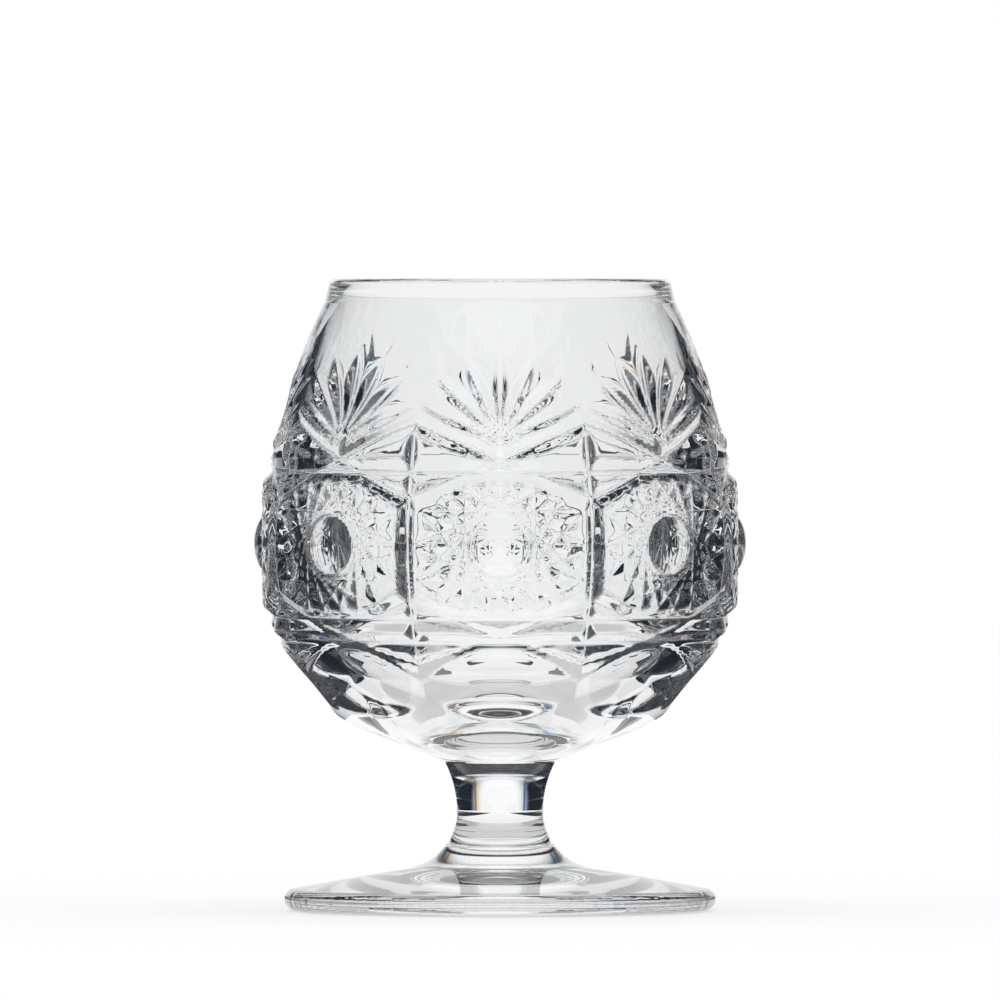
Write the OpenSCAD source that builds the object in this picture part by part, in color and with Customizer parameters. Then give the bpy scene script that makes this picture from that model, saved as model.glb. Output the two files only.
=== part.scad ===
// Hand-cut crystal brandy snifter: blown bowl, drawn stem and pressed foot, standing on the foot.
// Millimetres, Z up, origin at the centre of the resting face; the first cut panel faces -Y.

/* [Bowl] */
// height of the rim above the table
rim_height = 117; // [110:0.5:124]
// outer radius of the round belly
belly_radius = 45.8; // [43:0.1:48]
// height of the widest part of the belly
belly_height = 68; // [66:0.5:70]
// outer radius of the lip at the rim
lip_radius = 31.7; // [29:0.1:34]
// height of the upright lip under the rim
lip_height = 4; // [2:0.1:6]
// how much wider the lip is at its foot than at the rim
lip_flare = 0.7; // [0.3:0.1:1.2]
// thickness of the rounded rim
rim_thickness = 2; // [1.6:0.1:3]
// section radius of the shoulder between the belly and the lip
shoulder_radius = 153; // [130:1:200]
// radius of the curve under the belly
under_radius = 30.7; // [29:0.1:33]
// radius of the cavity wall in section
cavity_radius = 36; // [33:0.5:37]
// wall thickness at the belly
wall = 4.8; // [4:0.1:6]
// height of the cavity floor
floor_height = 37; // [36:0.5:40]

/* [Cut pattern] */
// number of panels round the bowl
panels = 8; // [6:1:10]
// height of the upper ring mitre
upper_ring_height = 81.8; // [80:0.1:83]
// height of the ring mitre under the star
middle_ring_height = 54; // [53:0.1:55]
// height of the lowest ring mitre
lower_ring_height = 49.6; // [48.5:0.1:50.5]
// depth of the ring mitres
ring_depth = 1.5; // [0.8:0.1:1.8]
// height of the lower ends of the upright mitres between panels
border_low = 45.4; // [44.5:0.1:46]
// height of the upper ends of the upright mitres
border_high = 89.8; // [88:0.1:91]
// depth of the upright mitres between panels
mitre_depth = 1.4; // [0.8:0.1:1.8]
// height of the crossing of the upper diagonals
upper_cross_height = 84.2; // [83.5:0.1:85]
// height from the lower to the upper ends of the upper diagonals
upper_cross_rise = 14; // [12:0.1:16]
// height of the crossing of the lower diagonals
lower_cross_height = 51.4; // [50.5:0.1:52]
// height from the lower to the upper ends of the lower diagonals
lower_cross_rise = 12; // [10:0.1:13]
// depth of the diagonals halfway from the crossing to the border
cross_depth = 1.3; // [1:0.1:1.5]
// number of cuts in a star
star_cuts = 12; // [8:1:20]
// distance of the star cuts from the middle of the star
star_radius = 6.4; // [5.5:0.1:7]
// depth of the star cuts
star_depth = 1.6; // [1.2:0.1:1.8]
// radius of the dome of the boss in a star
boss_dome_radius = 8.5; // [8:0.1:9.5]
// how far the top of the boss lies under the uncut glass
boss_sink = 0.15; // [0.1:0.05:0.4]
// depth of the groove round the boss
boss_depth = 1.9; // [1.4:0.1:2.1]
// height of the base of the fans
fan_height = 88; // [87:0.1:89]
// distance from the base of a fan to the middle of its rays
fan_reach = 7.8; // [7:0.1:8.4]
// depth of the fan rays
fan_depth = 1; // [0.6:0.1:1.2]
// height of the middle of the olives
olive_height = 42.6; // [41.5:0.1:43.5]
// depth of the olives
olive_depth = 2.1; // [1.6:0.1:2.4]
// wheel radius of the olives
olive_wheel_radius = 90; // [70:1:120]
// width of the olive wheel
olive_width = 30; // [26:1:34]

/* [Stem and foot] */
// height of the joint of bowl and stem
stem_top = 27.6; // [26.5:0.1:28]
// height of the thinnest part of the stem
waist_height = 18.3; // [17.5:0.1:19]
// radius of the thinnest part of the stem
waist_radius = 8; // [7:0.1:9]
// section radius of the stem above the waist
stem_upper_radius = 20; // [17:0.5:24]
// section radius of the sweep from the stem into the foot
sweep_radius = 10.6; // [10:0.1:11]
// height of the joint of stem and foot
foot_top = 12; // [11:0.1:13]
// outer radius of the foot
foot_radius = 40; // [37:0.5:43]
// radius of the rounded edge of the foot
foot_edge_radius = 2; // [1.5:0.1:2.5]

/* [Hidden] */
$fa = 4;
// shortest facet of a round edge in a mesh
facet_length = 0.8;
$fs = facet_length;
// how far one outline starts inside the next
blend = 0.02;
// how far the cutting wheels stand out of the glass, and those of the close cuts in a panel
overrun = 1.2;
clearance = 0.5;
// half of the angle between the walls of a mitre
mitre_half_angle = 50;
// lean of the outer wall of the groove round a boss
boss_angle = 62;
// directions of the rays of a fan, from the upright, and how their two halves lean
fan_angles = [-67.5 : 22.5 : 67.5];
fan_lean = 7;
radian = 180 / PI;
pitch = 360 / panels;
star_length = 2 * sqrt(2 * belly_radius * (star_depth + clearance));
glass = [0.9, 0.94, 0.95, 0.45];

// belly: part of a sphere
function belly_r(z) = sqrt(belly_radius ^ 2 - (z - belly_height) ^ 2);
function belly_tilt(z) = asin((z - belly_height) / belly_radius);

// shoulder: flat curve from the upper ring mitre to the lip
lip_foot = [lip_radius + lip_flare, rim_height - lip_height];
shoulder_foot = [belly_r(upper_ring_height), upper_ring_height];
shoulder_chord = lip_foot - shoulder_foot;
shoulder_drop = sqrt(shoulder_radius ^ 2 - (norm(shoulder_chord) / 2) ^ 2);
shoulder_c = (shoulder_foot + lip_foot) / 2
             - shoulder_drop * [shoulder_chord[1], -shoulder_chord[0]] / norm(shoulder_chord);
function shoulder_r(z) = shoulder_c[0] + sqrt(shoulder_radius ^ 2 - (z - shoulder_c[1]) ^ 2);
function shoulder_tilt(z) = asin((z - shoulder_c[1]) / shoulder_radius);
rim_r = rim_thickness / 2;
rim_z = rim_height - rim_r;

// curve under the belly, tangent to the sphere at the lowest ring mitre
under_turn = -belly_tilt(lower_ring_height);
under_c = [belly_r(lower_ring_height) - under_radius * cos(under_turn),
           lower_ring_height + under_radius * sin(under_turn)];
function under_r(z) = under_c[0] + sqrt(under_radius ^ 2 - (under_c[1] - z) ^ 2);
function under_tilt(z) = -asin((under_c[1] - z) / under_radius);

// outside of the uncut bowl at any height of the cut pattern
function wall_r(z) =
    z > upper_ring_height ? shoulder_r(z) :
    z > lower_ring_height ? belly_r(z) : under_r(z);
function wall_tilt(z) =
    z > upper_ring_height ? shoulder_tilt(z) :
    z > lower_ring_height ? belly_tilt(z) : under_tilt(z);

// stem: two hollow curves that meet upright at the waist
stem_upper_c = [waist_radius + stem_upper_radius, waist_height];
sweep_c = [waist_radius + sweep_radius, waist_height];
joint_r = stem_upper_c[0] - sqrt(stem_upper_radius ^ 2 - (stem_top - waist_height) ^ 2);
hub_r = sweep_c[0] - sqrt(sweep_radius ^ 2 - (waist_height - foot_top) ^ 2);

// cone that closes the bowl down to the stem, touching the curve under the belly
cone_offset = [joint_r - under_c[0], under_c[1] - stem_top];
cone_turn = atan2(cone_offset[0], cone_offset[1]) + acos(under_radius / norm(cone_offset));
cone_end = under_c + (under_radius - blend) * [sin(cone_turn), -cos(cone_turn)];

// cavity: one round section with a flat floor and a cone up to the rim
cavity_c = [belly_radius - wall - cavity_radius, floor_height + cavity_radius];
mouth = [lip_radius - rim_thickness + blend, rim_z];
mouth_offset = mouth - cavity_c;
mouth_turn = atan2(mouth_offset[1], mouth_offset[0]) - acos(cavity_radius / norm(mouth_offset));
mouth_start = cavity_c + (cavity_radius - blend) * [cos(mouth_turn), sin(mouth_turn)];
mouth_lean = (mouth_start[0] - mouth[0]) / (mouth[1] - mouth_start[1]);
mouth_top = [mouth[0] - mouth_lean * overrun, mouth[1] + overrun];

// foot: top cone that leaves the rounded edge and meets the sweep of the stem
edge_c = [foot_radius - foot_edge_radius, foot_edge_radius];
foot_offset = sweep_c - edge_c;
foot_turn = atan2(foot_offset[1], -foot_offset[0])
            - asin((sweep_radius + foot_edge_radius) / norm(foot_offset));
foot_normal = [sin(foot_turn), cos(foot_turn)];
foot_outer = edge_c + (foot_edge_radius - blend) * foot_normal;
foot_inner = sweep_c - (sweep_radius - blend) * foot_normal;

// places a cut on the wall: its path runs level, or turned up by the turn angle
module on_wall(azimuth, radius, height, tilt, turn) {
    rotate([0, 0, azimuth])
        translate([0, -radius, height])
            rotate([-tilt, 0, 0])
                rotate([0, -turn, 0])
                    children();
}

// mitre of even depth along an arc that bends with the glass
module mitre(path_radius, depth, span) {
    reach = path_radius + overrun;
    half_width = (depth + overrun) * tan(mitre_half_angle);
    translate([0, path_radius, 0])
        rotate([0, 0, -90 - span / 2])
            rotate_extrude(angle = span)
                polygon([[path_radius - depth, 0], [reach, half_width], [reach, -half_width]]);
}

// straight mitre, deepest halfway along where the round wall stands out most
module straight_mitre(depth, length) {
    half_width = (depth + clearance) * tan(mitre_half_angle);
    translate([-length / 2, 0, 0])
        rotate([90, 0, 90])
            linear_extrude(length)
                polygon([[depth, 0], [-clearance, half_width], [-clearance, -half_width]]);
}

// half of a leaf: a straight mitre that starts at its full depth and leans out of the glass
module half_leaf(depth) {
    length = (depth + overrun) / sin(fan_lean);
    half_width = overrun * tan(mitre_half_angle);
    translate([0, depth, 0])
        rotate([90, 0, 90 - fan_lean])
            linear_extrude(length)
                polygon([[0, 0], [-overrun, half_width], [-overrun, -half_width]]);
}

// section of a ring mitre in the bowl's outline
module ring_section(height) {
    half_width = (ring_depth + overrun) * tan(mitre_half_angle);
    translate([belly_r(height), height])
        rotate(belly_tilt(height))
            polygon([[-ring_depth, 0], [overrun, half_width], [overrun, -half_width]]);
}

// outside of the uncut bowl
module blank_section() {
    intersection() {
        translate([0, belly_height])
            circle(belly_radius);
        translate([0, lower_ring_height])
            square([belly_radius + overrun, upper_ring_height - lower_ring_height]);
    }
    intersection() {
        translate(shoulder_c)
            circle(shoulder_radius);
        translate([0, upper_ring_height])
            square([belly_radius, lip_foot[1] - upper_ring_height]);
    }
    polygon([[0, lip_foot[1]], lip_foot, [lip_radius - blend, rim_z], [0, rim_z]]);
    translate([lip_radius - rim_r, rim_z])
        circle(rim_r);
    intersection() {
        translate(under_c)
            circle(under_radius);
        translate([0, stem_top])
            square([belly_radius, lower_ring_height - stem_top]);
    }
    polygon([
        [0, stem_top],
        [joint_r, stem_top],
        cone_end,
        [under_c[0], lower_ring_height],
        [0, lower_ring_height]
    ]);
}

// inside of the bowl
module cavity_section() {
    intersection() {
        translate(cavity_c)
            circle(cavity_radius);
        translate([0, floor_height])
            square([belly_radius, 2 * cavity_radius]);
    }
    translate([0, floor_height + blend])
        square([cavity_c[0], cavity_radius]);
    polygon([[0, mouth_start[1]], mouth_start, mouth_top, [0, mouth_top[1]]]);
}

// blank with its cavity and ring mitres, turned in one piece
module bowl_blank() {
    rotate_extrude()
        difference() {
            blank_section();
            cavity_section();
            ring_section(upper_ring_height);
            ring_section(middle_ring_height);
            ring_section(lower_ring_height);
        }
}

// upright mitre on the border between two panels
module border_mitre() {
    low = belly_tilt(border_low);
    high = belly_tilt(border_high);
    on_wall(pitch / 2, belly_radius, belly_height, 0, 90)
        translate([0, belly_radius, 0])
            rotate([0, 0, (low + high) / 2])
                translate([0, -belly_radius, 0])
                    mitre(belly_radius, mitre_depth, high - low);
}

// two diagonals that cross on the panel's middle line, each cut in two straight halves
module crossed_mitres(cross_height, rise) {
    for (way = [-1, 1], half = [-1, 1]) {
        height = cross_height + way * half * rise / 4;
        width = wall_r(height) * pitch / radian;
        on_wall(half * pitch / 4, wall_r(height), height, wall_tilt(height), way * atan(rise / width))
            straight_mitre(cross_depth, norm([rise, width]) / 2);
    }
}

// star of straight cuts that pass its middle at an even distance
module star() {
    for (cut = [0 : star_cuts - 1])
        translate([0, 0, belly_height])
            rotate([0, cut * 360 / star_cuts, 0])
                rotate([-star_radius / belly_radius * radian, 0, 0])
                    translate([0, -belly_radius, 0])
                        straight_mitre(star_depth, star_length);
}

// groove that leaves a domed boss standing in the middle of the star
module boss_groove() {
    rise = boss_depth - boss_sink;
    valley = sqrt(2 * boss_dome_radius * rise - rise ^ 2) - blend;
    edge = valley + (boss_depth + clearance) * tan(boss_angle);
    on_wall(0, belly_radius, belly_height, 0, 0)
        rotate([90, 0, 0])
            rotate_extrude()
                difference() {
                    polygon([[0, clearance], [0, -boss_depth], [valley, -boss_depth], [edge, clearance]]);
                    translate([0, -boss_sink - boss_dome_radius])
                        circle(boss_dome_radius);
                }
}

// fan of leaf cuts on the shoulder over the panel
module fan() {
    for (angle = fan_angles) {
        height = fan_height + fan_reach * cos(angle) * cos(shoulder_tilt(fan_height));
        side = fan_reach * sin(angle) / shoulder_r(height) * radian;
        on_wall(side, shoulder_r(height), height, shoulder_tilt(height), 90 - angle)
            for (end = [0, 180])
                rotate([0, end, 0])
                    half_leaf(fan_depth);
    }
}

// shallow olive under the panel
module olive() {
    on_wall(0, under_r(olive_height), olive_height, under_tilt(olive_height), 0)
        translate([0, olive_depth - olive_wheel_radius, 0])
            rotate([0, 90, 0])
                cylinder(h = olive_width, r = olive_wheel_radius, center = true);
}

// bowl after the first panels have been cut, one after another
module cut_bowl(count) {
    turn = (count - 1) * pitch;
    if (count == 0)
        bowl_blank();
    else
        difference() {
            cut_bowl(count - 1);
            rotate([0, 0, turn])
                border_mitre();
            rotate([0, 0, turn])
                crossed_mitres(upper_cross_height, upper_cross_rise);
            rotate([0, 0, turn])
                crossed_mitres(lower_cross_height, lower_cross_rise);
            rotate([0, 0, turn])
                star();
            rotate([0, 0, turn])
                boss_groove();
            rotate([0, 0, turn])
                fan();
            rotate([0, 0, turn])
                olive();
        }
}

// bowl with all its panels cut
module bowl() {
    color(glass)
        cut_bowl(panels);
}

// stem drawn from the bowl
module stem() {
    color(glass)
        rotate_extrude() {
            difference() {
                translate([0, waist_height])
                    square([joint_r + overrun, stem_top - waist_height]);
                translate(stem_upper_c)
                    circle(stem_upper_radius);
            }
            difference() {
                translate([0, foot_top])
                    square([hub_r + overrun, waist_height - foot_top]);
                translate(sweep_c)
                    circle(sweep_radius);
            }
        }
}

// foot with a rounded edge, a low cone and the start of the stem's sweep
module foot() {
    color(glass)
        rotate_extrude() {
            polygon([[0, 0], [edge_c[0], 0], foot_outer, foot_inner, [0, foot_inner[1]]]);
            translate(edge_c)
                circle(foot_edge_radius);
            difference() {
                square([foot_inner[0], foot_top]);
                translate(sweep_c)
                    circle(sweep_radius);
            }
        }
}

bowl();
stem();
foot();
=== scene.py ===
"""Hand-cut crystal brandy snifter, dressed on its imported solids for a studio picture."""

import logging
import math
from dataclasses import dataclass, field
from enum import Enum

import bpy
import numpy as np
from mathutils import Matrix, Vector


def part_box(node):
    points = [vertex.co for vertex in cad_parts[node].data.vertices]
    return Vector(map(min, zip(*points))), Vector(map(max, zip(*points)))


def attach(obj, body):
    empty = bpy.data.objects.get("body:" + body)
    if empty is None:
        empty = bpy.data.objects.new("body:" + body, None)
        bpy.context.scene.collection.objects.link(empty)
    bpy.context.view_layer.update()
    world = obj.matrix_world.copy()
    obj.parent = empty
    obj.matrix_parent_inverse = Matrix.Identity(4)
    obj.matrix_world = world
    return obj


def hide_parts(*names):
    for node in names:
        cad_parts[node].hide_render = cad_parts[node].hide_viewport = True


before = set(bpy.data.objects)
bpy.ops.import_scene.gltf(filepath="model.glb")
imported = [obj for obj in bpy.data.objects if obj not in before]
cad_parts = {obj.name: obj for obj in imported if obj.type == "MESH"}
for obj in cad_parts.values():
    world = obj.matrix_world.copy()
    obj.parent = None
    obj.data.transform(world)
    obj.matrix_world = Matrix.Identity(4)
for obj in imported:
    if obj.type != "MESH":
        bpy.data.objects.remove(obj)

LOG = logging.getLogger("snifter")
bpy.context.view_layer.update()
BODY = "root"
MM = 0.001
TINY = 0.001
PANELS = 8
BOUNCES = 32
FACING = "facing"


class Node(Enum):
    """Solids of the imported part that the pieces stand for."""

    BOWL = "bowl"
    STEM = "stem"
    FOOT = "foot"


class Slot(Enum):
    """Material slot of the record; the pieces make their own finish and don't take it from this slot."""

    CRYSTAL = "crystal"


class Side(Enum):
    """Which way a diagonal rises across a panel."""

    LEFT = -1
    RIGHT = 1


@dataclass(frozen=True)
class Line:
    """Straight stretch of a turned outline, walked with the glass on its left.

    Attributes:
        start: First radius and height in millimetres.
        end: Last radius and height.
        steps: Number of facets along the stretch.
    """

    start: tuple[float, float]
    end: tuple[float, float]
    steps: int = 1

    def points(self) -> np.ndarray:
        """Returns the corners of the facets, as radius and height."""
        return np.linspace(self.start, self.end, self.steps + 1)

    def normals(self) -> np.ndarray:
        """Returns the directions out of the glass at the corners."""
        along = np.subtract(self.end, self.start)
        out = np.array([along[1], -along[0]]) / np.linalg.norm(along)
        return np.tile(out, (self.steps + 1, 1))


@dataclass(frozen=True)
class Arc:
    """Round stretch of a turned outline.

    Attributes:
        centre: Radius and height of the centre in millimetres.
        radius: Radius of the stretch.
        first: First angle in radians, counted from the outward radius.
        last: Last angle.
        steps: Number of facets along the stretch.
        hollow: True where the glass lies outside the circle.
    """

    centre: tuple[float, float]
    radius: float
    first: float
    last: float
    steps: int
    hollow: bool = False

    def ways(self) -> np.ndarray:
        """Returns the directions from the centre to the corners of the facets."""
        angles = np.linspace(self.first, self.last, self.steps + 1)
        return np.stack([np.cos(angles), np.sin(angles)], axis=1)

    def points(self) -> np.ndarray:
        """Returns the corners of the facets, as radius and height."""
        return np.array(self.centre) + self.radius * self.ways()

    def normals(self) -> np.ndarray:
        """Returns the directions out of the glass at the corners."""
        return -self.ways() if self.hollow else self.ways()


@dataclass(frozen=True)
class Outline:
    """Closed outline of a turned piece, from the bottom of its axis round to the top.

    Attributes:
        stretches: Lines and arcs in order.
    """

    stretches: tuple[Line | Arc, ...]

    def rows(self) -> tuple[np.ndarray, np.ndarray]:
        """Lists the corners of all stretches, each once.

        Returns:
            Radius and height of each corner, and the direction out of the glass there. Where
            two stretches meet, the direction is that of the later one.
        """
        points = np.concatenate([stretch.points() for stretch in self.stretches])
        normals = np.concatenate([stretch.normals() for stretch in self.stretches])
        apart = np.linalg.norm(np.diff(points, axis=0), axis=1) > TINY
        last = np.concatenate([apart, [True]])
        return points[last], normals[last]


@dataclass(frozen=True)
class BowlShape:
    """Uncut bowl, in millimetres.

    Attributes:
        rim_height: Height of the rim above the table.
        belly_radius: Outer radius of the round belly.
        stem_top: Height of the joint with the stem.
        joint_radius: Radius of that joint.
        belly_height: Height of the widest part.
        lip_radius: Outer radius at the rim.
        lip_height: Height of the upright lip.
        lip_flare: How much wider the lip is at its foot.
        rim_thickness: Thickness of the rounded rim.
        shoulder_radius: Section radius of the shoulder.
        under_radius: Radius of the curve under the belly.
        cavity_radius: Radius of the cavity wall in section.
        wall: Wall thickness at the belly.
        floor_height: Height of the cavity floor.
        upper_ring: Height where the belly turns into the shoulder.
        lower_ring: Height where the belly turns into the curve under it.
        neck_facets: Facets up the cone from the stem.
        under_facets: Facets up the curve under the belly.
        belly_facets: Facets up the belly.
        shoulder_facets: Facets up the shoulder.
        rim_facets: Facets over the rim.
        mouth_facets: Facets down the straight part of the cavity.
        cavity_facets: Facets down its round part.
    """

    rim_height: float
    belly_radius: float
    stem_top: float
    joint_radius: float
    belly_height: float = 68.0
    lip_radius: float = 31.7
    lip_height: float = 4.0
    lip_flare: float = 0.7
    rim_thickness: float = 2.0
    shoulder_radius: float = 153.0
    under_radius: float = 30.7
    cavity_radius: float = 36.0
    wall: float = 4.8
    floor_height: float = 37.0
    upper_ring: float = 81.8
    lower_ring: float = 49.6
    neck_facets: int = 2
    under_facets: int = 34
    belly_facets: int = 60
    shoulder_facets: int = 50
    rim_facets: int = 8
    mouth_facets: int = 3
    cavity_facets: int = 20

    def belly_tilt(self, height: float) -> float:
        """Returns how far the belly's normal leans up at a height, in radians."""
        return math.asin((height - self.belly_height) / self.belly_radius)

    def belly_point(self, height: float) -> np.ndarray:
        """Returns the radius and height of a place on the belly."""
        return np.array([self.belly_radius * math.cos(self.belly_tilt(height)), height])

    def lip_foot(self) -> np.ndarray:
        """Returns the radius and height where the shoulder ends at the lip."""
        return np.array([self.lip_radius + self.lip_flare, self.rim_height - self.lip_height])

    def shoulder_centre(self) -> np.ndarray:
        """Returns the centre of the flat curve from the upper ring to the lip."""
        foot, lip = self.belly_point(self.upper_ring), self.lip_foot()
        half = (lip - foot) / 2
        drop = math.sqrt(self.shoulder_radius**2 - half @ half)
        return foot + half - drop * np.array([half[1], -half[0]]) / np.linalg.norm(half)

    def under_centre(self) -> np.ndarray:
        """Returns the centre of the curve under the belly, which leaves the belly without a kink."""
        turn = self.belly_tilt(self.lower_ring)
        out = np.array([math.cos(turn), math.sin(turn)])
        return self.belly_point(self.lower_ring) - self.under_radius * out

    def curves(self, heights: np.ndarray) -> tuple[np.ndarray, np.ndarray, np.ndarray]:
        """Finds which curve of the outside runs at each height.

        Args:
            heights: Heights above the table.

        Returns:
            Radius and height of the curves' centres, and their radii.
        """
        shoulder, belly = heights >= self.upper_ring, heights >= self.lower_ring
        centres = np.where(
            shoulder[..., None],
            self.shoulder_centre(),
            np.where(belly[..., None], (0.0, self.belly_height), self.under_centre()),
        )
        lower = np.where(belly, self.belly_radius, self.under_radius)
        radii = np.where(shoulder, self.shoulder_radius, lower)
        return centres[..., 0], centres[..., 1], radii

    def tilts(self, heights: np.ndarray) -> np.ndarray:
        """Returns how far the normals of the outside lean up at each height, in radians."""
        _, level, radii = self.curves(heights)
        return np.arcsin(np.clip((heights - level) / radii, -1.0, 1.0))

    def radii(self, heights: np.ndarray) -> np.ndarray:
        """Returns the outer radius at each height."""
        middle, _, radii = self.curves(heights)
        return middle + radii * np.cos(self.tilts(heights))

    def along(self, heights: np.ndarray) -> np.ndarray:
        """Returns the way up the outside from the lower ring to each height."""
        belly = self.belly_radius * (self.belly_tilt(self.upper_ring) - self.belly_tilt(self.lower_ring))
        _, level, _ = self.curves(np.array(self.upper_ring))
        first = math.asin((self.upper_ring - level) / self.shoulder_radius)
        tilts = self.tilts(heights)
        start = self.belly_tilt(self.lower_ring)
        return np.where(
            heights >= self.upper_ring,
            belly + self.shoulder_radius * (tilts - first),
            np.where(heights >= self.lower_ring, self.belly_radius, self.under_radius) * (tilts - start),
        )

    def outline(self) -> Outline:
        """Returns the outline, up the outside, over the rim and down the cavity."""
        centre = self.under_centre()
        away = (self.joint_radius - centre[0], centre[1] - self.stem_top)
        turn = math.atan2(*away) + math.acos(self.under_radius / math.hypot(*away)) - math.pi / 2
        low, high = self.belly_tilt(self.lower_ring), self.belly_tilt(self.upper_ring)
        under = Arc(tuple(centre), self.under_radius, turn, low, self.under_facets)
        centre, lip = self.shoulder_centre(), self.lip_foot()
        foot = math.asin((self.upper_ring - centre[1]) / self.shoulder_radius)
        top = math.asin((lip[1] - centre[1]) / self.shoulder_radius)
        rim = self.rim_thickness / 2
        rim_z = self.rim_height - rim
        hollow = (self.belly_radius - self.wall - self.cavity_radius, self.floor_height + self.cavity_radius)
        mouth = (self.lip_radius - self.rim_thickness, rim_z)
        reach = np.subtract(mouth, hollow)
        lean = math.atan2(reach[1], reach[0]) - math.acos(self.cavity_radius / np.linalg.norm(reach))
        cavity = Arc(hollow, self.cavity_radius, lean, -math.pi / 2, self.cavity_facets, hollow=True)
        return Outline((
            Line((0.0, self.stem_top), (self.joint_radius, self.stem_top)),
            Line((self.joint_radius, self.stem_top), tuple(under.points()[0]), self.neck_facets),
            under,
            Arc((0.0, self.belly_height), self.belly_radius, low, high, self.belly_facets),
            Arc(tuple(centre), self.shoulder_radius, foot, top, self.shoulder_facets),
            Line(tuple(lip), (self.lip_radius, rim_z)),
            Arc((self.lip_radius - rim, rim_z), rim, 0.0, math.pi, self.rim_facets),
            Line(mouth, tuple(cavity.points()[0]), self.mouth_facets),
            cavity,
            Line((hollow[0], self.floor_height), (0.0, self.floor_height)),
        ))


def softer(first: np.ndarray, second: np.ndarray, polish: float) -> np.ndarray:
    """Takes the deeper of two cuts, with the ridge between them polished round.

    Args:
        first: Depths of one cut.
        second: Depths of the other.
        polish: Width of the rounding in millimetres.

    Returns:
        The depths of both cuts together.
    """
    return (first + second + np.sqrt((first - second) ** 2 + polish**2)) / 2


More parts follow.
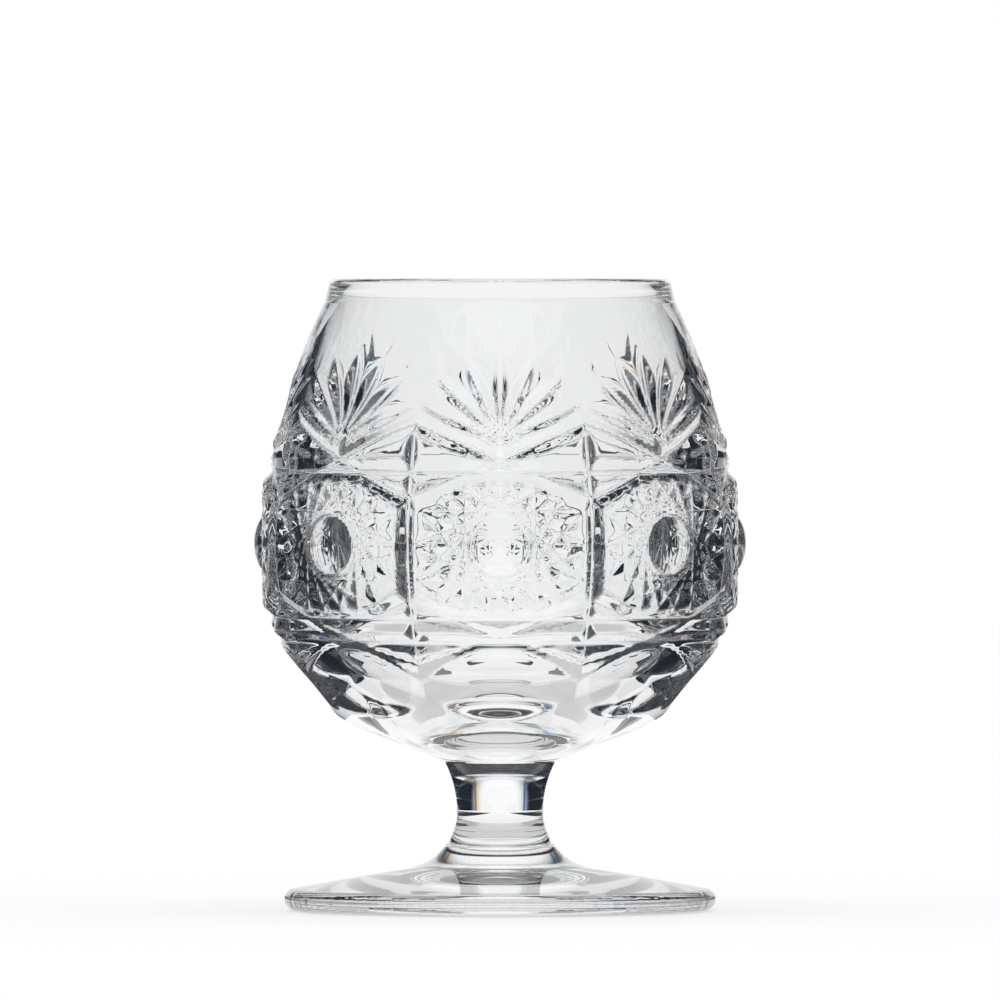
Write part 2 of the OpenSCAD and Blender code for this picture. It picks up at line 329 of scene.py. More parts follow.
@dataclass(frozen=True)
class CutPattern:
    """Wheel cuts of a panel and the rings that all panels share, in millimetres and degrees.

    Attributes:
        shape: Bowl that is cut.
        polish: Rounding of ridges and valleys by the acid polish.
        slant_polish: Rounding of the diagonals and leaves, and of the edges where cuts meet.
        rings: Heights of the ring mitres.
        ring_depth: Depth of the ring mitres.
        ring_angle: Half of the angle between their walls.
        border: Lower and upper ends of the upright mitres.
        border_depth: Depth of the upright mitres.
        border_angle: Half of the angle between their walls.
        crosses: Lower and upper ends of the two bands of crossed diagonals.
        cross_depth: Depth of the diagonals.
        cross_angle: Half of the angle between their walls.
        star_cuts: Number of cuts in a star.
        star_radius: Distance of the star cuts from the middle of the star.
        star_reach: Half of the length of a star cut.
        star_depth: Depth of the star cuts.
        star_angle: Half of the angle between their walls.
        boss_dome: Radius of the dome of the boss in the star.
        boss_sink: How far the top of the boss lies under the uncut glass.
        boss_depth: Depth of the groove round the boss.
        boss_angle: Lean of the outer wall of that groove.
        fan_height: Height of the base of the fans.
        fan_length: Length of a ray.
        fan_depth: Depth of a ray.
        fan_angle: Half of the angle between the walls of a ray.
        fan_turns: Directions of the rays from the upright.
        olive_height: Height of the middle of the olives.
        olive_depth: Depth of the olives.
        olive_wheel: Wheel radius of the olives.
        wander: How far the hand strays in placing a cut.
        seed: Seed of the straying.
    """

    shape: BowlShape
    polish: float = 0.16
    slant_polish: float = 0.3
    rings: tuple[float, ...] = (81.8, 54.0, 49.6)
    ring_depth: float = 1.5
    ring_angle: float = 58.0
    border: tuple[float, float] = (44.6, 91.0)
    border_depth: float = 1.5
    border_angle: float = 46.0
    crosses: tuple[tuple[float, float], ...] = ((45.2, 57.2), (77.2, 91.2))
    cross_depth: float = 1.3
    cross_angle: float = 57.0
    star_cuts: int = 16
    star_radius: float = 6.6
    star_reach: float = 14.0
    star_depth: float = 1.25
    star_angle: float = 69.0
    boss_dome: float = 8.5
    boss_sink: float = 0.15
    boss_depth: float = 1.9
    boss_angle: float = 62.0
    fan_height: float = 88.0
    fan_length: float = 16.0
    fan_depth: float = 1.15
    fan_angle: float = 55.0
    fan_turns: tuple[float, ...] = (-67.5, -45.0, -22.5, 0.0, 22.5, 45.0, 67.5)
    olive_height: float = 42.6
    olive_depth: float = 2.1
    olive_wheel: float = 90.0
    wander: float = 0.08
    seed: int = 7

    def mitre(
        self, depth: np.ndarray | float, across: np.ndarray, half_angle: float, polish: float
    ) -> np.ndarray:
        """Cuts a mitre with a polished valley.

        Args:
            depth: Depth of the valley.
            across: Way from the valley line.
            half_angle: Half of the angle between the walls.
            polish: Rounding of the valley.

        Returns:
            Depths of the cut, below zero where the wheel is clear of the glass.
        """
        away = np.sqrt(across**2 + polish**2) - polish
        return depth - away / math.tan(math.radians(half_angle))

    def upright(self, turns: np.ndarray, heights: np.ndarray) -> np.ndarray:
        """Returns the depths of the upright mitres on the borders of a panel."""
        share = (heights - self.border[0]) / (self.border[1] - self.border[0])
        depth = self.border_depth * (1 - np.abs(2 * share - 1) ** 6)
        across = self.shape.radii(heights) * (math.pi / PANELS - np.abs(turns))
        return self.mitre(depth, across, self.border_angle, self.polish)

    def diagonal(
        self, turns: np.ndarray, heights: np.ndarray, band: tuple[float, float], side: Side
    ) -> np.ndarray:
        """Cuts one diagonal from border to border.

        Args:
            turns: Angles from the middle of the panel in radians.
            heights: Heights above the table.
            band: Lower and upper end of the diagonal.
            side: Way in which it rises.

        Returns:
            Depths of the cut.
        """
        low, high = self.shape.along(np.array(band))
        half_width = self.shape.radii(np.array(sum(band) / 2)) * math.pi / PANELS
        slope = math.atan2((high - low) / 2, half_width)
        x = side.value * self.shape.radii(heights) * turns
        y = self.shape.along(heights) - (low + high) / 2
        across = y * math.cos(slope) - x * math.sin(slope)
        return self.mitre(self.cross_depth, across, self.cross_angle, self.slant_polish)

    def star(self, turns: np.ndarray, heights: np.ndarray) -> np.ndarray:
        """Returns the depths of the star and of the groove that leaves a domed boss in its middle."""
        radius = self.shape.belly_radius
        tilts = self.shape.tilts(heights)
        ways = np.stack([np.cos(tilts) * np.sin(turns), np.sin(tilts)], axis=-1)
        sines = np.linalg.norm(ways, axis=-1)
        far = radius * np.arctan2(sines, np.cos(tilts) * np.cos(turns))
        spots = ways * (far / np.maximum(sines, TINY))[..., None]
        rng = np.random.default_rng(self.seed)
        depths = np.full(turns.shape, -self.boss_depth)
        for turn in 2 * math.pi * np.arange(self.star_cuts) / self.star_cuts:
            turn += rng.normal(0.0, self.wander / self.star_radius)
            away = self.star_radius + rng.normal(0.0, self.wander)
            across = spots @ (math.cos(turn), math.sin(turn)) - away
            share = spots @ (-math.sin(turn), math.cos(turn)) / self.star_reach
            cut = self.mitre(self.star_depth * (1 - share**2), across, self.star_angle, self.polish)
            depths = softer(depths, cut, self.polish)
        rise = self.boss_depth - self.boss_sink
        valley = math.sqrt(2 * self.boss_dome * rise - rise**2)
        dome = self.boss_sink + far**2 / 2 * (1 / self.boss_dome - 1 / radius)
        wall = self.boss_depth - (far - valley) / math.tan(math.radians(self.boss_angle))
        return np.where(far < valley, dome, softer(depths, np.minimum(dome, wall), self.polish))

    def fan(self, turns: np.ndarray, heights: np.ndarray) -> np.ndarray:
        """Returns the depths of the leaves of a fan on the shoulder."""
        x = self.shape.radii(heights) * turns
        y = self.shape.along(heights) - self.shape.along(np.array(self.fan_height))
        rng = np.random.default_rng(self.seed)
        depths = np.full(turns.shape, -self.fan_depth)
        for turn in np.radians(self.fan_turns):
            turn += rng.normal(0.0, self.wander / self.fan_length)
            length = self.fan_length + rng.normal(0.0, 2 * self.wander)
            share = (x * math.sin(turn) + y * math.cos(turn)) / length
            across = x * math.cos(turn) - y * math.sin(turn)
            depth = self.fan_depth * 4 * share * (1 - share)
            leaf = self.mitre(depth, across, self.fan_angle, self.slant_polish)
            depths = softer(depths, leaf, self.slant_polish)
        return depths

    def olive(self, turns: np.ndarray, heights: np.ndarray) -> np.ndarray:
        """Returns the depths of the hollow that a broad round wheel leaves under the panel."""
        level = np.array(self.olive_height)
        x = self.shape.radii(heights) * turns
        y = self.shape.along(heights) - self.shape.along(level)
        bend_x = np.cos(self.shape.tilts(level)) / self.shape.radii(level)
        bend_y = 1 / self.shape.under_radius + 1 / self.olive_wheel
        return self.olive_depth - (bend_x * x**2 + bend_y * y**2) / 2

    def depths(self, turns: np.ndarray, heights: np.ndarray) -> np.ndarray:
        """Adds up all cuts at places on the outside of a panel.

        Args:
            turns: Angles from the middle of the panel in radians.
            heights: Heights above the table.

        Returns:
            How far the glass is cut away at each place.
        """
        half = math.pi / PANELS
        turns = np.where(np.abs(turns) > half, 2 * half * np.sign(turns) - turns, turns)
        way = self.shape.along(heights)
        levels = self.shape.along(np.array(self.rings))
        cuts = [self.mitre(self.ring_depth, way - level, self.ring_angle, self.polish) for level in levels]
        cuts += [self.diagonal(turns, heights, band, side) for band in self.crosses for side in Side]
        cuts += [self.upright(turns, heights), self.star(turns, heights)]
        cuts += [self.fan(turns, heights), self.olive(turns, heights)]
        total = np.zeros(turns.shape)
        for cut in cuts:
            total = softer(total, cut, self.slant_polish)
        return total


def blank(name: str) -> bpy.types.Material:
    """Makes a material that has only its output.

    Args:
        name: Name of the material.

    Returns:
        The material.
    """
    material = bpy.data.materials.new(name)
    material.use_nodes = True
    material.node_tree.nodes.remove(material.node_tree.nodes["Principled BSDF"])
    return material


@dataclass(frozen=True)
class GlassFinish:
    """Clear polished glass.

    Attributes:
        name: Name of the material.
        ior: Index of refraction.
        tint: Colour of the glass.
    """

    name: str = "lead crystal"
    ior: float = 1.545
    tint: tuple[float, float, float] = (0.992, 0.997, 1.0)

    def material(self) -> bpy.types.Material:
        """Returns glass that bends light and lets the light of lamps through to the table."""
        material = bpy.data.materials.new(self.name)
        material.use_nodes = True
        nodes, links = material.node_tree.nodes, material.node_tree.links
        shader = nodes["Principled BSDF"]
        shader.inputs["Base Color"].default_value = (*self.tint, 1.0)
        shader.inputs["Roughness"].default_value = 0.0
        shader.inputs["IOR"].default_value = self.ior
        shader.inputs["Transmission Weight"].default_value = 1.0
        path = nodes.new("ShaderNodeLightPath")
        passing = nodes.new("ShaderNodeBsdfTransparent")
        mix = nodes.new("ShaderNodeMixShader")
        links.new(path.outputs["Is Shadow Ray"], mix.inputs["Fac"])
        links.new(shader.outputs["BSDF"], mix.inputs[1])
        links.new(passing.outputs["BSDF"], mix.inputs[2])
        links.new(mix.outputs["Shader"], nodes["Material Output"].inputs["Surface"])
        return material


@dataclass(frozen=True)
class JointFinish:
    """Hot-fused joint, where light goes from one gather of glass to the next without a break.

    Attributes:
        name: Name of the material.
    """

    name: str = "fused joint"

    def material(self) -> bpy.types.Material:
        """Returns a surface that leaves light as it is."""
        material = blank(self.name)
        nodes, links = material.node_tree.nodes, material.node_tree.links
        clear = nodes.new("ShaderNodeBsdfTransparent")
        links.new(clear.outputs["BSDF"], nodes["Material Output"].inputs["Surface"])
        return material


@dataclass(frozen=True)
class Repeat:
    """Geometry nodes that set one panel of a gather all round the axis and weld the panels.

    Attributes:
        panels: Number of panels.
        weld: Distance in metres within which the borders of panels become one.
    """

    panels: int = PANELS
    weld: float = 1e-6

    def tree(self) -> bpy.types.NodeTree:
        """Returns the node tree, with named inputs for the panels, the weld and the material."""
        tree = bpy.data.node_groups.new("panels round the axis", "GeometryNodeTree")
        for name, kind in (
            ("Panel", "NodeSocketGeometry"),
            ("Panels", "NodeSocketInt"),
            ("Weld", "NodeSocketFloat"),
            ("Material", "NodeSocketMaterial"),
        ):
            tree.interface.new_socket(name, in_out="INPUT", socket_type=kind)
        tree.interface.new_socket("Gather", in_out="OUTPUT", socket_type="NodeSocketGeometry")
        inputs = tree.nodes.new("NodeGroupInput").outputs
        link = tree.links.new
        points = tree.nodes.new("GeometryNodePoints")
        link(inputs["Panels"], points.inputs["Count"])
        share = tree.nodes.new("ShaderNodeMath")
        share.operation = "DIVIDE"
        link(tree.nodes.new("GeometryNodeInputIndex").outputs[0], share.inputs[0])
        link(inputs["Panels"], share.inputs[1])
        angle = tree.nodes.new("ShaderNodeMath")
        angle.operation = "MULTIPLY"
        angle.inputs[1].default_value = 2 * math.pi
        link(share.outputs[0], angle.inputs[0])
        turn = tree.nodes.new("ShaderNodeCombineXYZ")
        link(angle.outputs[0], turn.inputs["Z"])
        spread = tree.nodes.new("GeometryNodeInstanceOnPoints")
        link(points.outputs[0], spread.inputs["Points"])
        link(inputs["Panel"], spread.inputs["Instance"])
        link(turn.outputs[0], spread.inputs["Rotation"])
        real = tree.nodes.new("GeometryNodeRealizeInstances")
        link(spread.outputs[0], real.inputs[0])
        weld = tree.nodes.new("GeometryNodeMergeByDistance")
        link(real.outputs[0], weld.inputs["Geometry"])
        link(inputs["Weld"], weld.inputs["Distance"])
        dressed = tree.nodes.new("GeometryNodeSetMaterial")
        link(weld.outputs[0], dressed.inputs["Geometry"])
        link(inputs["Material"], dressed.inputs["Material"])
        link(dressed.outputs[0], tree.nodes.new("NodeGroupOutput").inputs[0])
        return tree

    def round_axis(self, panel: bpy.types.Mesh, material: bpy.types.Material) -> bpy.types.Mesh:
        """Repeats a panel all round the axis.

        Args:
            panel: Mesh of the panel, in metres.
            material: Material of the gather.

        Returns:
            The closed mesh of all panels.
        """
        tree = self.tree()
        carrier = bpy.data.objects.new("panel", panel)
        bpy.context.scene.collection.objects.link(carrier)
        modifier = carrier.modifiers.new(tree.name, "NODES")
        modifier.node_group = tree
        values = {"Panels": self.panels, "Weld": self.weld, "Material": material}
        for item in tree.interface.items_tree:
            if item.name in values:
                modifier[item.identifier] = values[item.name]
        depsgraph = bpy.context.evaluated_depsgraph_get()
        mesh = bpy.data.meshes.new_from_object(carrier.evaluated_get(depsgraph))
        carrier.modifiers.remove(modifier)
        bpy.data.objects.remove(carrier)
        return mesh


def read(items: bpy.types.bpy_prop_collection, name: str, width: int) -> np.ndarray:
    """Reads one property of many mesh elements.

    Args:
        items: Vertices, polygons or attribute values of a mesh.
        name: Property to read.
        width: Numbers to one element.

    Returns:
        The values, one row for each element.
    """
    values = np.zeros(len(items) * width)
    items.foreach_get(name, values)
    return values.reshape(-1, width)


@dataclass
class Gather:
    """One gather of glass, turned from an outline.

    Attributes:
        node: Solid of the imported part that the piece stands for.
        glass: Material of the glass.
        joint: Material of the joints with other gathers.
        joint_heights: Heights in millimetres of the joints.
        columns: Number of facets across a panel.
    """

    node: Node
    glass: bpy.types.Material
    joint: bpy.types.Material
    joint_heights: tuple[float, ...]
    columns: int = 32

    def outline(self) -> Outline:
        """Returns the outline that the gather is turned from."""
        raise NotImplementedError

    def surface(self, turns: np.ndarray) -> tuple[np.ndarray, np.ndarray]:
        """Places the outline at each angle of a panel.

        Args:
            turns: Angles from the middle of the panel in radians.

        Returns:
            Radius, angle and height of each spot, and the direction out of the glass there as
            its outward, sideways and upward shares, by row of the outline and by angle.
        """
        points, normals = self.outline().rows()
        shape = (len(points), len(turns))
        spots = np.stack([
            np.broadcast_to(points[:, :1], shape),
            np.broadcast_to(turns, shape),
            np.broadcast_to(points[:, 1:], shape),
        ], axis=-1)
        facing = np.zeros((*shape, 3))
        facing[..., 0], facing[..., 2] = normals[:, :1], normals[:, 1:]
        return spots, facing

    def panel(self) -> bpy.types.Mesh:
        """Returns the mesh of one panel, with the directions out of the glass as an attribute."""
        half = math.pi / PANELS
        spots, facing = self.surface(np.linspace(-half, half, self.columns + 1))
        kept = np.ones(spots.shape[:2], dtype=bool)
        kept[spots[:, 0, 0] < TINY, 1:] = False
        counted = kept.ravel().cumsum().reshape(kept.shape) - 1
        numbers = np.maximum.accumulate(np.where(kept, counted, -1), axis=1)
        faces = []
        for low, high in zip(numbers, numbers[1:]):
            for here in range(self.columns):
                quad = (low[here], low[here + 1], high[here + 1], high[here])
                faces.append(tuple(dict.fromkeys(int(corner) for corner in quad)))
        radius, turn, height = spots[kept].T
        corners = np.stack([radius * np.sin(turn), -radius * np.cos(turn), height], axis=1)
        mesh = bpy.data.meshes.new("panel")
        mesh.from_pydata((corners * MM).tolist(), [], faces)
        mesh.attributes.new(FACING, "FLOAT_VECTOR", "POINT").data.foreach_set("vector", facing[kept].ravel())
        return mesh

    def polish(self, mesh: bpy.types.Mesh) -> None:
        """Shades the glass smooth along the directions that its panels carry.

        Args:
            mesh: Mesh of the whole gather.
        """
        out, aside, up = read(mesh.attributes[FACING].data, "vector", 3).T
        spots = read(mesh.vertices, "co", 3)
        turn = np.arctan2(spots[:, 0], -spots[:, 1])
        normals = np.stack([
            out * np.sin(turn) + aside * np.cos(turn),
            aside * np.sin(turn) - out * np.cos(turn),
            up,
        ], axis=1)
        mesh.attributes.remove(mesh.attributes[FACING])
        mesh.shade_smooth()
        mesh.normals_split_custom_set_from_vertices(normals.tolist())

    def build(self) -> bpy.types.Object:
        """Makes the piece, dresses its joints and hands it to the frame.

        Returns:
            The finished object.
        """
        mesh = Repeat().round_axis(self.panel(), self.glass)
        self.polish(mesh)
        mesh.materials.clear()
        mesh.materials.append(self.glass)
        mesh.materials.append(self.joint)
        heights = read(mesh.polygons, "center", 3)[:, 2] / MM
        level = np.abs(read(mesh.polygons, "normal", 3)[:, 2]) > 1 - TINY
        fused = level & (np.abs(np.subtract.outer(heights, self.joint_heights)).min(axis=1) < TINY)
        mesh.polygons.foreach_set("material_index", fused.astype(int))
        piece = bpy.data.objects.new(f"{self.node.value}_glass", mesh)
        bpy.context.scene.collection.objects.link(piece)
        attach(piece, BODY)
        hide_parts(self.node.value)
        LOG.info("%s: %d faces", piece.name, len(mesh.polygons))
        return piece


@dataclass
class Bowl(Gather):
    """Blown bowl with its cut panels.

    Attributes:
        shape: Uncut bowl.
        probe: Step in millimetres over which the slope of the cuts is measured.
        collar: Height in millimetres over the stem that stays uncut.
    """

    shape: BowlShape = field(kw_only=True)
    probe: float = 0.2
    collar: float = 4.0

    def outline(self) -> Outline:
        """Returns the outline of the uncut bowl."""
        return self.shape.outline()

    def cut_wall(self, turns: np.ndarray, heights: np.ndarray) -> np.ndarray:
        """Cuts the outside of the bowl.

        Args:
            turns: Angles from the middle of the panel in radians.
            heights: Heights of the spots on the uncut glass.

        Returns:
            Radius and height of each spot after cutting.
        """
        depths = CutPattern(self.shape).depths(turns, heights)
        tilts = self.shape.tilts(heights)
        radii = self.shape.radii(heights)
        return np.stack([radii - depths * np.cos(tilts), heights - depths * np.sin(tilts)], axis=-1)

    def surface(self, turns: np.ndarray) -> tuple[np.ndarray, np.ndarray]:
        """Places the outline at each angle of a panel and cuts its outside.

        Args:
            turns: Angles from the middle of the panel in radians.

        Returns:
            The spots and the directions out of the glass, as for any gather.
        """
        spots, facing = super().surface(turns)
        radius, height = spots[:, 0, 0], spots[:, 0, 2]
        outside = np.abs(radius - self.shape.radii(height)) < TINY
        outside &= height > self.shape.stem_top + self.collar
        outside &= height < self.shape.lip_foot()[1] - TINY
        angle, level = spots[outside, :, 1], spots[outside, :, 2]
        spots[outside, :, 0], spots[outside, :, 2] = np.moveaxis(self.cut_wall(angle, level), -1, 0)
        side = self.probe / self.shape.belly_radius
        across = (self.cut_wall(angle + side, level) - self.cut_wall(angle - side, level)) / (2 * side)
        upward = self.cut_wall(angle, level + self.probe) - self.cut_wall(angle, level - self.probe)
        out = spots[outside, :, 0] * upward[..., 1]
        aside = across[..., 1] * upward[..., 0] - across[..., 0] * upward[..., 1]
        rise = -spots[outside, :, 0] * upward[..., 0]
        normals = np.stack([out, aside, rise], axis=-1)
        facing[outside] = normals / np.linalg.norm(normals, axis=-1)[..., None]
        return spots, facing


@dataclass(frozen=True)
class StemShape:
    """Stem and the sweep that carries it into the foot, in millimetres.

    Attributes:
        top: Height of the joint with the bowl.
        bottom: Height of the joint with the foot.
        waist_height: Height of the thinnest part.
        waist_radius: Radius of the thinnest part.
        upper_radius: Section radius above the waist.
        sweep_radius: Section radius below the waist.
        upper_facets: Facets above the waist.
        lower_facets: Facets below the waist.
    """

    top: float
    bottom: float
    waist_height: float = 18.3
    waist_radius: float = 8.0
    upper_radius: float = 20.0
    sweep_radius: float = 10.6
    upper_facets: int = 24
    lower_facets: int = 20

    def sweep_centre(self) -> tuple[float, float]:
        """Returns the centre of the sweep into the foot."""
        return self.waist_radius + self.sweep_radius, self.waist_height

    def fall(self) -> float:
        """Returns the angle of the sweep from the waist down to the joint with the foot."""
        return math.asin((self.waist_height - self.bottom) / self.sweep_radius)

    def upper(self) -> Arc:
        """Returns the hollow curve from the waist up to the bowl."""
        rise = math.asin((self.top - self.waist_height) / self.upper_radius)
        centre = (self.waist_radius + self.upper_radius, self.waist_height)
        return Arc(centre, self.upper_radius, math.pi, math.pi - rise, self.upper_facets, hollow=True)

    def lower(self) -> Arc:
        """Returns the hollow curve from the foot's joint up to the waist."""
        first = math.pi + self.fall()
        return Arc(self.sweep_centre(), self.sweep_radius, first, math.pi, self.lower_facets, hollow=True)


@dataclass
class Stem(Gather):
    """Short stem drawn from the bowl.

    Attributes:
        shape: Sizes of the stem.
    """

    shape: StemShape = field(kw_only=True)

    def outline(self) -> Outline:
        """Returns the outline of the stem."""
        lower, upper = self.shape.lower(), self.shape.upper()
        hub, neck = tuple(lower.points()[0]), tuple(upper.points()[-1])
        return Outline((Line((0.0, hub[1]), hub), lower, upper, Line(neck, (0.0, neck[1]))))


@dataclass
class Foot(Gather):
    """Flat round foot with a rounded edge.

    Attributes:
        stem: Sizes of the stem that sweeps into it.
        radius: Outer radius in millimetres.
        edge_radius: Radius of the rounded edge.
        ripple: Depth of the waves that hand polish leaves on the edge.
        waves: Numbers of waves to a panel, which run together.
        seed: Seed of where the waves begin.
        edge_facets: Facets round the edge.
        slope_facets: Facets up the straight slope.
        sweep_facets: Facets up the sweep to the stem.
    """

    stem: StemShape = field(kw_only=True)
    radius: float = field(kw_only=True)
    edge_radius: float = 2.0
    ripple: float = 0.14
    waves: tuple[int, ...] = (4, 7, 11)
    seed: int = 3
    edge_facets: int = 28
    slope_facets: int = 8
    sweep_facets: int = 24

    def outline(self) -> Outline:
        """Returns the outline of the foot, from its resting face up to the stem."""
        edge = np.array([self.radius - self.edge_radius, self.edge_radius])
        sweep_centre = np.array(self.stem.sweep_centre())
        away = sweep_centre - edge
        both = self.stem.sweep_radius + self.edge_radius
        lean = math.atan2(away[1], -away[0]) - math.asin(both / np.linalg.norm(away))
        rim = Arc(tuple(edge), self.edge_radius, -math.pi / 2, math.pi / 2 - lean, self.edge_facets)
        first, last = 1.5 * math.pi - lean, math.pi + self.stem.fall()
        sweep = Arc(
            tuple(sweep_centre), self.stem.sweep_radius, first, last, self.sweep_facets, hollow=True
        )
        hub = tuple(sweep.points()[-1])
        return Outline((
            Line((0.0, 0.0), (float(edge[0]), 0.0)),
            rim,
            Line(tuple(rim.points()[-1]), tuple(sweep.points()[0]), self.slope_facets),
            sweep,
            Line(hub, (0.0, hub[1])),
        ))

    def surface(self, turns: np.ndarray) -> tuple[np.ndarray, np.ndarray]:
        """Places the outline at each angle of a panel, with waves in the rounded edge.

        Args:
            turns: Angles from the middle of the panel in radians.

        Returns:
            The spots and the directions out of the glass, as for any gather.
        """
        spots, facing = super().surface(turns)
        starts = np.random.default_rng(self.seed).uniform(0.0, 2 * math.pi, len(self.waves))
        depth, slope = np.zeros(len(turns)), np.zeros(len(turns))
        for waves, start in zip(self.waves, starts):
            share = self.ripple / len(self.waves) / 2
            depth += share * (1 - np.cos(waves * PANELS * turns + start))
            slope += share * waves * PANELS * np.sin(waves * PANELS * turns + start)
        edge = spots[:, 0, 0] > self.radius - self.edge_radius
        out = facing[edge, :, 0]
        facing[edge, :, 1] = out**2 * slope / spots[edge, :, 0]
        spots[edge, :, 0] -= out * depth
        facing /= np.linalg.norm(facing, axis=-1)[..., None]
        return spots, facing


@dataclass(frozen=True)
class Studio:
    """Camera, table and dark flags in a white surround, in metres and degrees.

    Attributes:
        distance: Distance of the camera from the axis of the glass.
        width: Width of the picture at the glass.
        aim_height: Height of the middle of the picture.
        elevation: How far the camera stands above the level.
        sensor: Width of the sensor in millimetres.
        window_distance: Distance of the window behind the glass.
        window_size: Half of the width and of the height of the window.
        window_core: Share of that size over which the window is quite clear.
        flag_size: Half of the width and of the height of the flags.
        flag_level: Height of the two low flags above the table, left and right of the glass.
        flag_clear: Distance of the low flags from the axis.
        fringe_start: Share of the width where the left stripe of colours begins.
        fringe_width: Share of the width that a stripe takes up.
        cool: Colours of the left stripe.
        warm: Colours of the right stripe.
        flag_colour: Colour of the dark flags round the glass.
        card_radii: Inner and outer radius of the white ring under the bowl.
        card_height: Height of that ring.
        card_light: Brightness of that ring.
        card_corners: Corners of that ring.
        table_size: Half of the width of the table.
        table_gap: Gap between the foot and the table.
        shadow: Share of the table's white that the shadow of the glass can take away.
    """

    distance: float = 4.0
    width: float = 0.1854
    aim_height: float = 0.076
    elevation: float = 0.7
    sensor: float = 36.0
    window_distance: float = 1.0
    window_size: tuple[float, float] = (0.66, 0.95)
    window_core: float = 0.45
    flag_size: tuple[float, float] = (2.0, 2.0)
    flag_level: float = 0.004
    flag_clear: float = 0.047
    fringe_start: float = 0.12
    fringe_width: float = 0.06
    cool: tuple[tuple[float, float, float], ...] = ((0.1, 0.1, 0.8), (0.05, 0.3, 1.0), (0.3, 0.9, 0.8))
    warm: tuple[tuple[float, float, float], ...] = ((1.0, 0.85, 0.2), (1.0, 0.35, 0.05), (0.5, 0.05, 0.15))
    flag_colour: tuple[float, float, float] = (0.015, 0.02, 0.027)
    card_radii: tuple[float, float] = (0.0135, 0.0175)
    card_height: float = 0.0275
    card_light: float = 0.95
    card_corners: int = 64
    table_size: float = 3.0
    table_gap: float = 0.0002
    shadow: float = 0.4

    def camera(self) -> bpy.types.Object:
        """Returns the camera, placed level with the bowl in front of the first panel."""
        data = bpy.data.cameras.new("camera")
        data.sensor_width = self.sensor
        data.lens = self.sensor * self.distance / self.width
        camera = bpy.data.objects.new("camera", data)
        bpy.context.scene.collection.objects.link(camera)
        rise = math.radians(self.elevation)
        back = Vector((0.0, -math.cos(rise), math.sin(rise)))
        camera.location = Vector((0.0, 0.0, self.aim_height)) + self.distance * back
        camera.rotation_mode = "QUATERNION"
        camera.rotation_quaternion = (-back).to_track_quat("-Z", "Y")
        bpy.context.scene.camera = camera
        return camera

    def emission(
        self, name: str, strength: float, colour: tuple[float, float, float] = (1.0, 1.0, 1.0)
    ) -> bpy.types.Material:
        """Makes a plain light.

        Args:
            name: Name of the material.
            strength: Strength of the light, where 1 is white in the picture.
            colour: Colour of the light.

        Returns:
            The material.
        """
        material = blank(name)
        nodes, links = material.node_tree.nodes, material.node_tree.links
        light = nodes.new("ShaderNodeEmission")
        light.inputs["Color"].default_value = (*colour, 1.0)
        light.inputs["Strength"].default_value = strength
        links.new(light.outputs["Emission"], nodes["Material Output"].inputs["Surface"])
        return material

    def flags(self, camera: bpy.types.Object) -> None:
        """Stands dark flags round the glass, with a soft window behind it, which turn with the camera.

        Args:
            camera: Camera that faces the window.
        """
        x, y = self.flag_size
        back, front = -self.distance - self.window_distance, self.window_distance
        corners = [(i * x, j * y, z) for z in (back, front) for i, j in ((-1, -1), (1, -1), (1, 1), (-1, 1))]
        faces = [(0, 1, 2, 3), (4, 5, 6, 7)] + [(n, (n + 1) % 4, (n + 1) % 4 + 4, n + 4) for n in range(4)]
        level = self.flag_level - self.aim_height
        for side in (-1, 1):
            faces.append(tuple(range(len(corners), len(corners) + 4)))
            spots = ((self.flag_clear, back), (x, back), (x, front), (self.flag_clear, front))
            corners += [(side * away, level, z) for away, z in spots]
        mesh = bpy.data.meshes.new("flags")
        mesh.from_pydata(corners, [], faces)
        mesh.materials.append(self.window())
        mesh.materials.append(self.emission("dark flag", 1.0, self.flag_colour))
        mesh.polygons.foreach_set("material_index", [0] + [1] * (len(faces) - 1))
        flags = bpy.data.objects.new("flags", mesh)
        bpy.context.scene.collection.objects.link(flags)
        flags.parent = camera
        self.hide(flags)

    def hide(self, prop: bpy.types.Object) -> None:
        """Leaves a flag or card to the glass alone.

        Args:
            prop: Flag or card that only bent and mirrored rays meet.
        """
        prop.visible_camera = False
        prop.visible_diffuse = False
        prop.visible_shadow = False

    def window(self) -> bpy.types.Material:
        """Returns a flag with an open window, which closes softly to its edges.

        Returns:
            Material that is clear in the middle and dark outside, with a narrow stripe of colours in
            the closing part on the left and on the right, such as dense glass splits off there.
        """
        material = self.emission("window", 1.0, self.flag_colour)
        nodes, links = material.node_tree.nodes, material.node_tree.links
        split = nodes.new("ShaderNodeSeparateXYZ")
        links.new(nodes.new("ShaderNodeTexCoord").outputs["Object"], split.inputs["Vector"])
        flat = nodes.new("ShaderNodeCombineXYZ")
        for axis, size in zip("XY", self.window_size):
            away = nodes.new("ShaderNodeMath")
            away.operation = "DIVIDE"
            away.inputs[1].default_value = size
            links.new(split.outputs[axis], away.inputs[0])
            links.new(away.outputs[0], flat.inputs[axis])
        reach = nodes.new("ShaderNodeVectorMath")
        reach.operation = "LENGTH"
        links.new(flat.outputs["Vector"], reach.inputs[0])
        fade = nodes.new("ShaderNodeMapRange")
        fade.interpolation_type = "SMOOTHSTEP"
        fade.inputs["From Min"].default_value = self.window_core
        fade.inputs["From Max"].default_value = 1.0
        links.new(reach.outputs["Value"], fade.inputs["Value"])
        clear = nodes.new("ShaderNodeBsdfTransparent")
        mix = nodes.new("ShaderNodeMixShader")
        links.new(fade.outputs["Result"], mix.inputs["Fac"])
        links.new(clear.outputs["BSDF"], mix.inputs[1])
        links.new(nodes["Emission"].outputs["Emission"], mix.inputs[2])
        links.new(mix.outputs["Shader"], nodes["Material Output"].inputs["Surface"])
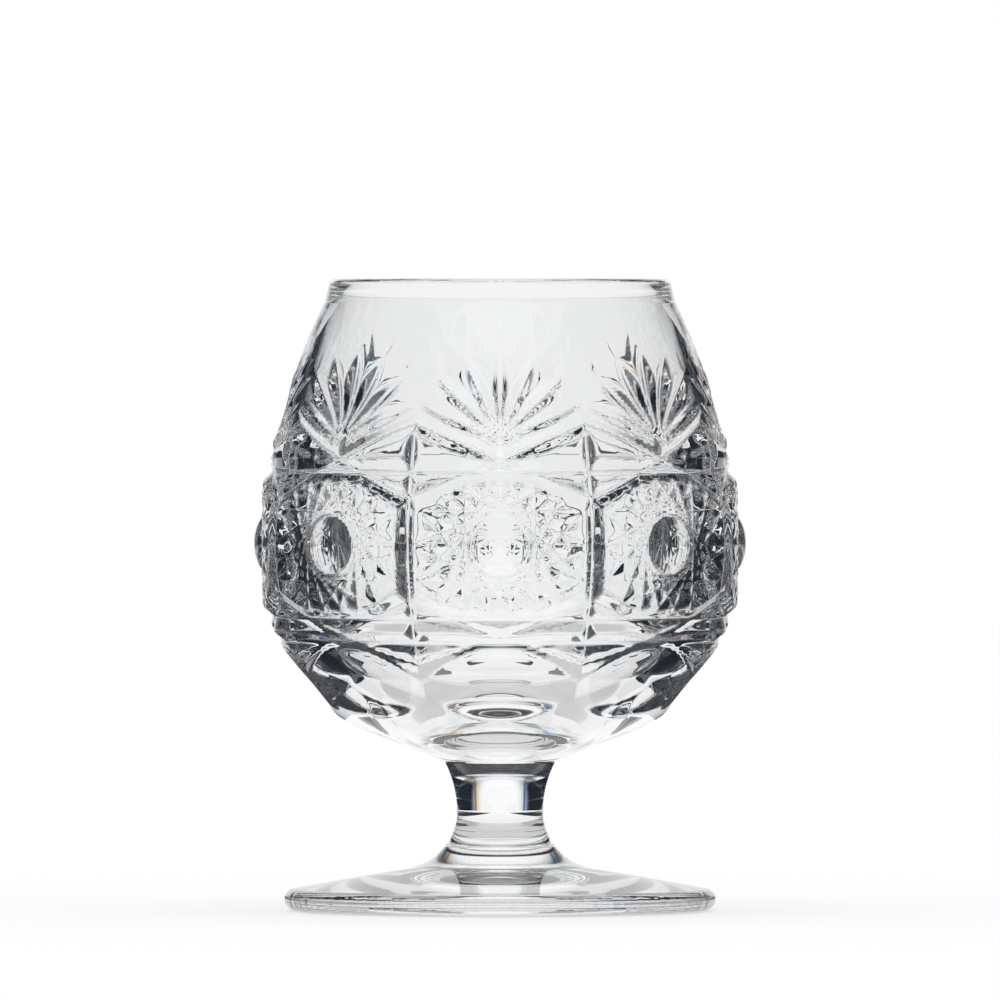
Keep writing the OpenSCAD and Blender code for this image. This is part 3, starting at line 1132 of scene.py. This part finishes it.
        share = nodes.new("ShaderNodeMapRange")
        share.inputs["From Min"].default_value = -self.window_size[0]
        share.inputs["From Max"].default_value = self.window_size[0]
        links.new(split.outputs["X"], share.inputs["Value"])
        ramp = nodes.new("ShaderNodeValToRGB")
        links.new(share.outputs["Result"], ramp.inputs["Fac"])
        stops = ramp.color_ramp.elements
        stops[0].color = stops[1].color = (1.0, 1.0, 1.0, 1.0)
        right = 1 - self.fringe_start - self.fringe_width
        for start, colours in ((self.fringe_start, self.cool), (right, self.warm)):
            for number, colour in enumerate(((1.0, 1.0, 1.0), *colours, (1.0, 1.0, 1.0))):
                spot = start + self.fringe_width * number / (len(colours) + 1)
                stops.new(spot).color = (*colour, 1.0)
        links.new(ramp.outputs["Color"], clear.inputs["Color"])
        return material

    def card(self) -> None:
        """Lays a white ring round the axis under the bowl, which only rays from above meet."""
        name = "card under the bowl"
        turns = np.linspace(0.0, 2 * math.pi, self.card_corners, endpoint=False)
        level = self.card_height
        corners = [(r * math.cos(turn), r * math.sin(turn), level) for turn in turns for r in self.card_radii]
        count = len(corners)
        faces = [(here, here + 1, (here + 3) % count, (here + 2) % count) for here in range(0, count, 2)]
        mesh = bpy.data.meshes.new(name)
        mesh.from_pydata(corners, [], faces)
        material = self.emission(name, self.card_light)
        nodes, links = material.node_tree.nodes, material.node_tree.links
        mix = nodes.new("ShaderNodeMixShader")
        links.new(nodes.new("ShaderNodeNewGeometry").outputs["Backfacing"], mix.inputs["Fac"])
        links.new(nodes["Emission"].outputs["Emission"], mix.inputs[1])
        links.new(nodes.new("ShaderNodeBsdfTransparent").outputs["BSDF"], mix.inputs[2])
        links.new(mix.outputs["Shader"], nodes["Material Output"].inputs["Surface"])
        mesh.materials.append(material)
        ring = bpy.data.objects.new(name, mesh)
        bpy.context.scene.collection.objects.link(ring)
        self.hide(ring)

    def table(self) -> None:
        """Lays a white table that keeps the shadow."""
        paper = self.emission("table", 1.0)
        nodes, links = paper.node_tree.nodes, paper.node_tree.links
        shade = nodes.new("ShaderNodeBsdfDiffuse")
        shade.inputs["Color"].default_value = (1.0, 1.0, 1.0, 1.0)
        mix = nodes.new("ShaderNodeMixShader")
        mix.inputs["Fac"].default_value = self.shadow
        links.new(nodes["Emission"].outputs["Emission"], mix.inputs[1])
        links.new(shade.outputs["BSDF"], mix.inputs[2])
        links.new(mix.outputs["Shader"], nodes["Material Output"].inputs["Surface"])
        mesh = bpy.data.meshes.new("table")
        turns = ((-1, -1), (1, -1), (1, 1), (-1, 1))
        corners = [(i * self.table_size, j * self.table_size, -self.table_gap) for i, j in turns]
        mesh.from_pydata(corners, [], [range(len(corners))])
        mesh.materials.append(paper)
        table = bpy.data.objects.new("table", mesh)
        bpy.context.scene.collection.objects.link(table)

    def world(self) -> None:
        """Sets a surround that is white for every ray."""
        world = bpy.data.worlds.new("studio")
        bpy.context.scene.world = world
        world.use_nodes = True
        light = world.node_tree.nodes["Background"]
        light.inputs["Color"].default_value = (1.0, 1.0, 1.0, 1.0)
        light.inputs["Strength"].default_value = 1.0


@dataclass
class Snifter:
    """The whole glass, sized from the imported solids."""

    def build(self) -> None:
        """Makes the bowl, the stem and the foot."""
        bowl_low, bowl_high = (Vector(corner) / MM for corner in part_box(Node.BOWL.value))
        foot_high = Vector(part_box(Node.FOOT.value)[1]) / MM
        stem_shape = StemShape(top=bowl_low.z, bottom=foot_high.z)
        neck = float(stem_shape.upper().points()[-1][0])
        sink = float(softer(np.array(0.0), np.array(CutPattern.boss_sink), CutPattern.slant_polish))
        bowl_shape = BowlShape(bowl_high.z, bowl_high.x + sink, bowl_low.z, neck)
        glass, joint = GlassFinish().material(), JointFinish().material()
        Bowl(Node.BOWL, glass, joint, (bowl_low.z,), columns=68, shape=bowl_shape).build()
        Stem(Node.STEM, glass, joint, (bowl_low.z, foot_high.z), shape=stem_shape).build()
        Foot(Node.FOOT, glass, joint, (foot_high.z,), columns=96, stem=stem_shape, radius=foot_high.x).build()


def main() -> None:
    """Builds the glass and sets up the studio."""
    logging.basicConfig(level=logging.INFO)
    Snifter().build()
    studio = Studio()
    studio.flags(studio.camera())
    studio.table()
    studio.card()
    studio.world()
    scene = bpy.context.scene
    scene.view_settings.view_transform = "Standard"
    scene.cycles.max_bounces = BOUNCES
    scene.cycles.transmission_bounces = BOUNCES
    scene.cycles.glossy_bounces = BOUNCES
    scene.cycles.transparent_max_bounces = BOUNCES


if __name__ == "__main__":
    main()
